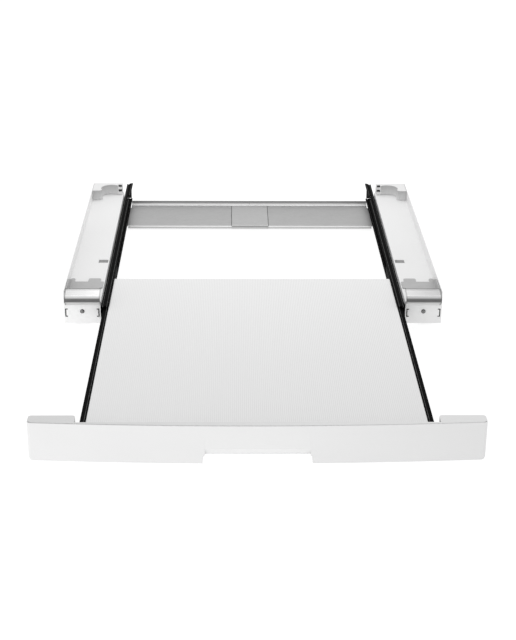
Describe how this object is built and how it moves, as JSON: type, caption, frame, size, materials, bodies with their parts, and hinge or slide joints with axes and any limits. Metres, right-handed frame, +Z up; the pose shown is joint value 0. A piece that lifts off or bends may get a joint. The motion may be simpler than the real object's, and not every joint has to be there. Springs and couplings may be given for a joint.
{
  "type": "washer dryer stacking kit",
  "caption": "White steel stacking kit that stands a dryer on a washing machine: two tray rails, a galvanised cross member and a pull-out shelf on ball slides.",
  "frame": {"origin": "under the middle of the whole kit, on the plane that the grip strips stand on, with the shelf pulled out", "axes": "+X to the right seen from the front, +Y from the front panel to the back, +Z up"},
  "size_m": [0.598, 1.0698, 0.057],
  "materials": {
    "white_paint": "satin white powder coat with a fine texture",
    "foot_block_plastic": "matte white moulded plastic",
    "shelf_white": "white coat with very fine ribs front to back",
    "panel_plastic": "smooth white moulded plastic, low gloss",
    "bright_steel": "bright rolled steel, fine lengthwise grain",
    "galvanised": "dull zinc-coated sheet steel",
    "black_slide": "black electrophoretic coat, semi-gloss",
    "cage_steel": "bright steel balls in a zinc-plated cage, lightly greased",
    "zinc_screw": "zinc-plated screws",
    "grey_mat": "matte mid-grey",
    "grey_plastic": "matte mid-grey",
    "black_rubber": "matte black"
  },
  "bodies": {
    "kit": {"rail_left": "white_paint", "rail_right": "white_paint", "grip_strip_left_inner": "black_rubber", "grip_strip_left_outer": "black_rubber", "grip_strip_right_inner": "black_rubber", "grip_strip_right_outer": "black_rubber", "front_plate_left": "white_paint", "front_plate_right": "white_paint", "foot_retainer_left": "bright_steel", "foot_retainer_right": "bright_steel", "foot_mat_left": "grey_mat", "foot_mat_right": "grey_mat", "rear_foot_block_left": "foot_block_plastic", "rear_foot_block_right": "foot_block_plastic", "pocket_liner_left": "grey_mat", "pocket_liner_right": "grey_mat", "slide_mount_strip_left": "galvanised", "slide_mount_strip_right": "galvanised", "slide_outer_left": "black_slide", "slide_outer_right": "black_slide", "cage_stop_left": "grey_plastic", "cage_stop_right": "grey_plastic", "rear_bumper_left": "black_rubber", "rear_bumper_right": "black_rubber", "cross_plate_left": "galvanised", "cross_plate_right": "galvanised", "joiner_plate": "galvanised", "front_screw_left": "zinc_screw", "front_screw_right": "zinc_screw", "block_screw_left": "zinc_screw", "block_screw_right": "zinc_screw", "slide_screw_left_front": "zinc_screw", "slide_screw_left_rear": "zinc_screw", "slide_screw_right_front": "zinc_screw", "slide_screw_right_rear": "zinc_screw", "cross_screw_left_front": "zinc_screw", "cross_screw_left_rear": "zinc_screw", "cross_screw_right_front": "zinc_screw", "cross_screw_right_rear": "zinc_screw", "joiner_screw_1": "zinc_screw", "joiner_screw_2": "zinc_screw", "joiner_screw_3": "zinc_screw", "joiner_screw_4": "zinc_screw"},
    "drawer": {"shelf_pan": "shelf_white", "shelf_stiffener_front": "galvanised", "shelf_stiffener_rear": "galvanised", "front_panel": "panel_plastic", "slide_inner_left": "black_slide", "slide_inner_right": "black_slide", "shelf_screw_left_front": "zinc_screw", "shelf_screw_left_rear": "zinc_screw", "shelf_screw_right_front": "zinc_screw", "shelf_screw_right_rear": "zinc_screw", "panel_screw_1": "zinc_screw", "panel_screw_2": "zinc_screw", "panel_screw_3": "zinc_screw", "panel_screw_4": "zinc_screw"},
    "cage_left": {"ball_cage_left": "cage_steel"},
    "cage_right": {"ball_cage_right": "cage_steel"}
  },
  "joints": [
    {"name": "shelf_slide", "type": "slide", "parent": "kit", "child": "drawer", "axis": [0, 1, 0], "range_m": [0, 0.407]},
    {"name": "cage_left_roll", "type": "slide", "parent": "kit", "child": "cage_left", "axis": [0, 1, 0], "range_m": [0, 0.2035]},
    {"name": "cage_right_roll", "type": "slide", "parent": "kit", "child": "cage_right", "axis": [0, 1, 0], "range_m": [0, 0.2035]}
  ],
  "couplings": [
    {"joint": "cage_left_roll", "follows": "shelf_slide", "ratio": 0.5},
    {"joint": "cage_right_roll", "follows": "shelf_slide", "ratio": 0.5}
  ]
}
